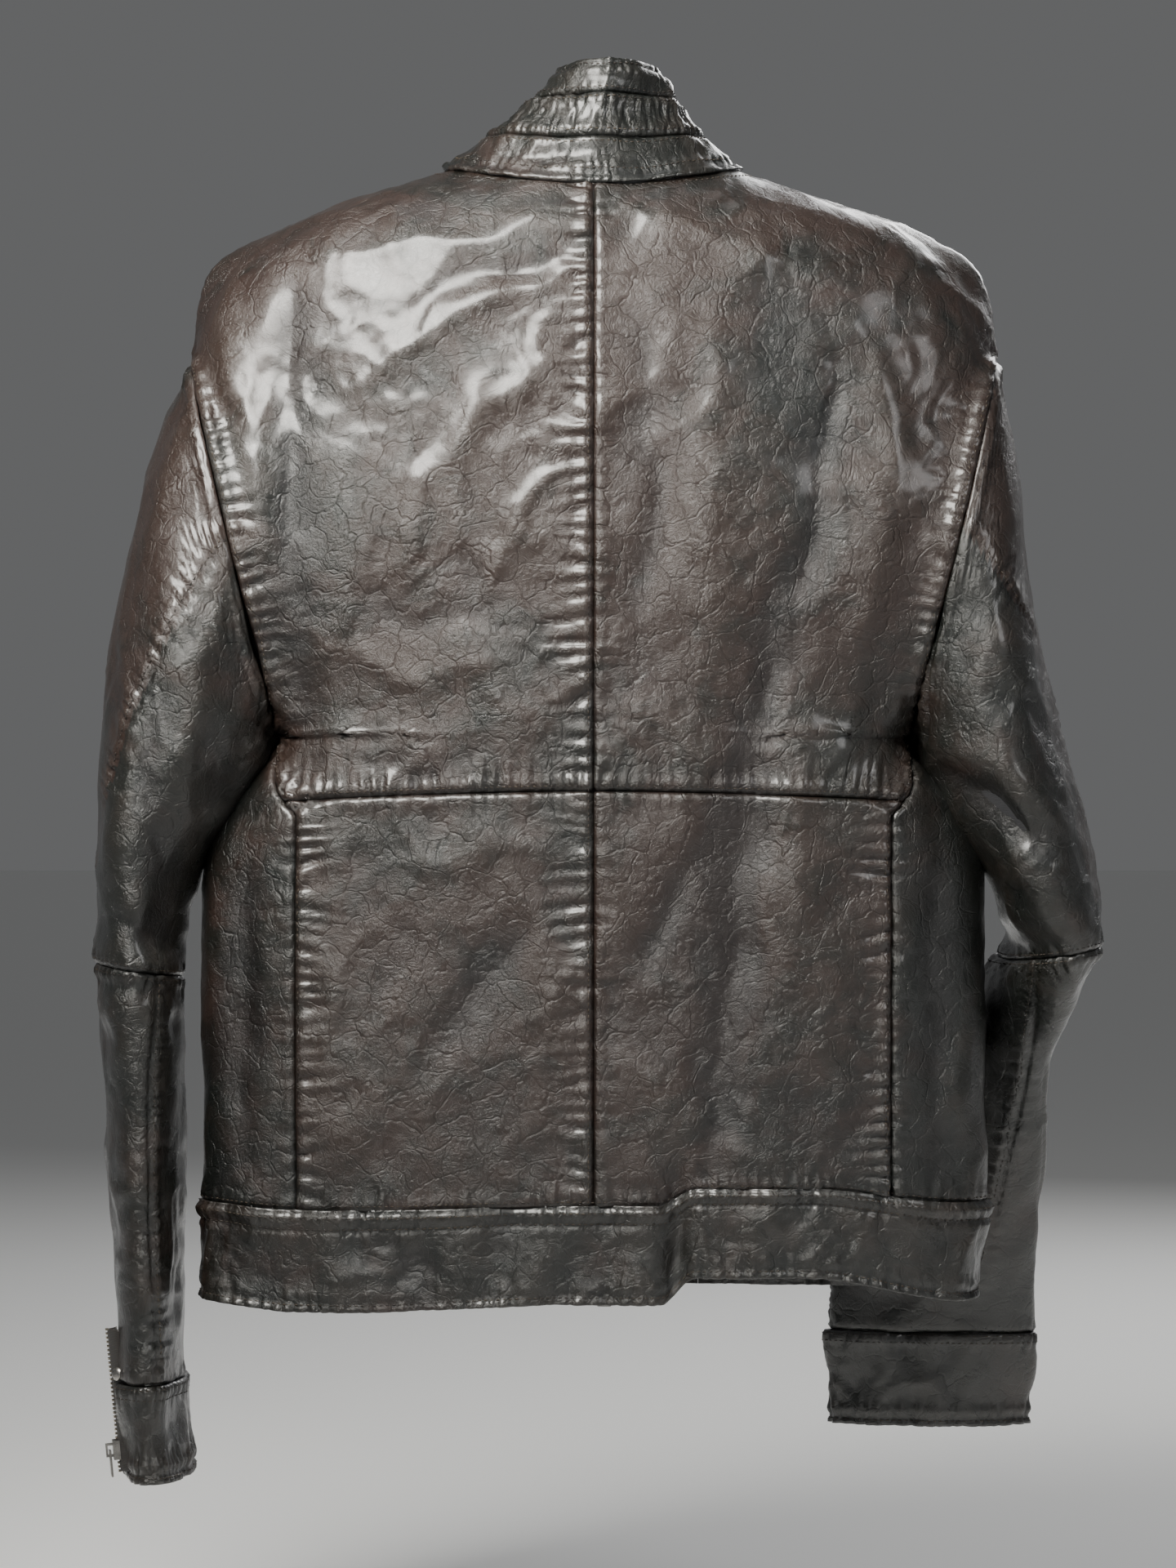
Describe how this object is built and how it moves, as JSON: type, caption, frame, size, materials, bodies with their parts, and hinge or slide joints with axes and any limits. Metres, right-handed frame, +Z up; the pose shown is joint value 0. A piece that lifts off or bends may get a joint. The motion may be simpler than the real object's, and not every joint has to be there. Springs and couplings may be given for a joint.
{
  "type": "leather riding jacket",
  "caption": "Short leather riding jacket with a stand collar, set-in sleeves, a hem band and zips, hanging with its front undone.",
  "frame": {"origin": "middle of the neck opening, level with the neck seam, where a hanger carries the jacket", "axes": "+Z up, -Y to the wearer's front, +X to the wearer's left"},
  "size_m": [0.5813, 0.2353, 0.8142],
  "materials": {
    "leather": "glossy washed lambskin, dark brown with red-brown and grey-green patches, crumpled",
    "leather_trim": "the same leather, two layers thick and top-stitched",
    "leather_facing": "the same leather, smoother, on the inside edges",
    "lining": "dark satin lining",
    "zip_metal": "aged dark nickel"
  },
  "bodies": {
    "torso": {"back_upper_left": "leather", "back_upper_right": "leather", "back_lower_left": "leather", "back_lower_right": "leather", "side_panel_left": "leather", "side_panel_right": "leather", "front_side_left": "leather", "front_side_right": "leather", "front_lining_left": "lining", "front_lining_right": "lining", "pocket_bag_left": "lining", "pocket_bag_right": "lining", "sleeve_head_left": "leather", "sleeve_head_right": "leather", "hem_band_back": "leather_trim", "back_lining": "lining", "collar_stand": "leather_trim", "collar_band": "leather_trim", "collar_top": "leather_trim", "hang_loop": "leather_facing", "pocket_zip_left_chain": "zip_metal", "pocket_zip_right_chain": "zip_metal"},
    "front_left": {"front_panel_left": "leather", "front_facing_left": "leather_facing", "hem_band_front_left": "leather_trim", "collar_wing_left": "leather_trim", "main_zip_chain_left": "zip_metal"},
    "sleeve_left": {"upper_sleeve_outer_left": "leather", "upper_sleeve_under_left": "leather", "upper_sleeve_lining_left": "lining", "elbow_panel_left": "leather"},
    "forearm_left": {"forearm_outer_left": "leather", "forearm_under_left": "leather", "forearm_lining_left": "lining", "cuff_left": "leather_trim", "cuff_zip_left_chain": "zip_metal"},
    "pocket_slider_left": {"pocket_zip_left_slider": "zip_metal"},
    "pocket_pull_left": {"pocket_zip_left_pull": "zip_metal"},
    "cuff_slider_left": {"cuff_zip_left_slider": "zip_metal"},
    "cuff_pull_left": {"cuff_zip_left_pull": "zip_metal"},
    "front_right": {"front_panel_right": "leather", "front_facing_right": "leather_facing", "hem_band_front_right": "leather_trim", "collar_wing_right": "leather_trim", "main_zip_chain_right": "zip_metal"},
    "sleeve_right": {"upper_sleeve_outer_right": "leather", "upper_sleeve_under_right": "leather", "upper_sleeve_lining_right": "lining", "elbow_panel_right": "leather"},
    "forearm_right": {"forearm_outer_right": "leather", "forearm_under_right": "leather", "forearm_lining_right": "lining", "cuff_right": "leather_trim", "cuff_zip_right_chain": "zip_metal"},
    "pocket_slider_right": {"pocket_zip_right_slider": "zip_metal"},
    "pocket_pull_right": {"pocket_zip_right_pull": "zip_metal"},
    "cuff_slider_right": {"cuff_zip_right_slider": "zip_metal"},
    "cuff_pull_right": {"cuff_zip_right_pull": "zip_metal"},
    "main_slider": {"main_zip_slider": "zip_metal"},
    "main_pull": {"main_zip_pull": "zip_metal"}
  },
  "joints": [
    {"name": "front_left_open", "type": "hinge", "parent": "torso", "child": "front_left", "pos_m": [0.062, -0.0715, -0.3], "axis": [0, 0, 1], "range_deg": [0, 100]},
    {"name": "sleeve_left_lift", "type": "hinge", "parent": "torso", "child": "sleeve_left", "pos_m": [0.21, 0.005, -0.18], "axis": [0, -1, 0], "range_deg": [0, 50], "deforming": ["sleeve_head_left"]},
    {"name": "elbow_left_bend", "type": "hinge", "parent": "sleeve_left", "child": "forearm_left", "pos_m": [0.27, 0.014, -0.457], "axis": [-1, 0, 0], "range_deg": [0, 55], "deforming": ["elbow_panel_left"]},
    {"name": "front_right_open", "type": "hinge", "parent": "torso", "child": "front_right", "pos_m": [-0.062, -0.0715, -0.3], "axis": [0, 0, -1], "range_deg": [0, 100]},
    {"name": "sleeve_right_lift", "type": "hinge", "parent": "torso", "child": "sleeve_right", "pos_m": [-0.21, 0.005, -0.18], "axis": [0, 1, 0], "range_deg": [0, 50], "deforming": ["sleeve_head_right"]},
    {"name": "elbow_right_bend", "type": "hinge", "parent": "sleeve_right", "child": "forearm_right", "pos_m": [-0.27, 0.004, -0.45], "axis": [-1, 0, 0], "range_deg": [0, 55], "deforming": ["elbow_panel_right"]},
    {"name": "main_zip_slide", "type": "slide", "parent": "front_right", "child": "main_slider", "axis": [0, 0, 1], "range_m": [0, 0.5595]},
    {"name": "main_zip_pull_swing", "type": "hinge", "parent": "main_slider", "child": "main_pull", "pos_m": [-0.0064, -0.0783, -0.63185], "axis": [-1, 0, 0], "range_deg": [0, 130]},
    {"name": "pocket_zip_left_slide", "type": "slide", "parent": "torso", "child": "pocket_slider_left", "axis": [0, 0.0345, 0.9994], "range_m": [0, 0.1365]},
    {"name": "pocket_zip_left_pull_swing", "type": "hinge", "parent": "pocket_slider_left", "child": "pocket_pull_left", "pos_m": [0.14962, -0.0701, -0.53958], "axis": [-0.9796, -0.2006, 0.0069], "range_deg": [0, 130]},
    {"name": "pocket_zip_right_slide", "type": "slide", "parent": "torso", "child": "pocket_slider_right", "axis": [0, 0.0345, 0.9994], "range_m": [0, 0.1365]},
    {"name": "pocket_zip_right_pull_swing", "type": "hinge", "parent": "pocket_slider_right", "child": "pocket_pull_right", "pos_m": [-0.14962, -0.0701, -0.53958], "axis": [-0.9797, 0.2006, -0.0069], "range_deg": [0, 130]},
    {"name": "cuff_zip_left_slide", "type": "slide", "parent": "forearm_left", "child": "cuff_slider_left", "axis": [0.0909, 0.024, 0.9956], "range_m": [0, 0.063]},
    {"name": "cuff_zip_left_pull_swing", "type": "hinge", "parent": "cuff_slider_left", "child": "cuff_pull_left", "pos_m": [0.27846, 0.02181, -0.73542], "axis": [0.1494, -0.9887, 0.0102], "range_deg": [0, 130]},
    {"name": "cuff_zip_right_slide", "type": "slide", "parent": "forearm_right", "child": "cuff_slider_right", "axis": [-0.0538, 0.2098, 0.9763], "range_m": [0, 0.063]},
    {"name": "cuff_zip_right_pull_swing", "type": "hinge", "parent": "cuff_slider_right", "child": "cuff_pull_right", "pos_m": [-0.2354, -0.1434, -0.71749], "axis": [-0.9717, 0.2142, -0.0996], "range_deg": [0, 130]}
  ]
}
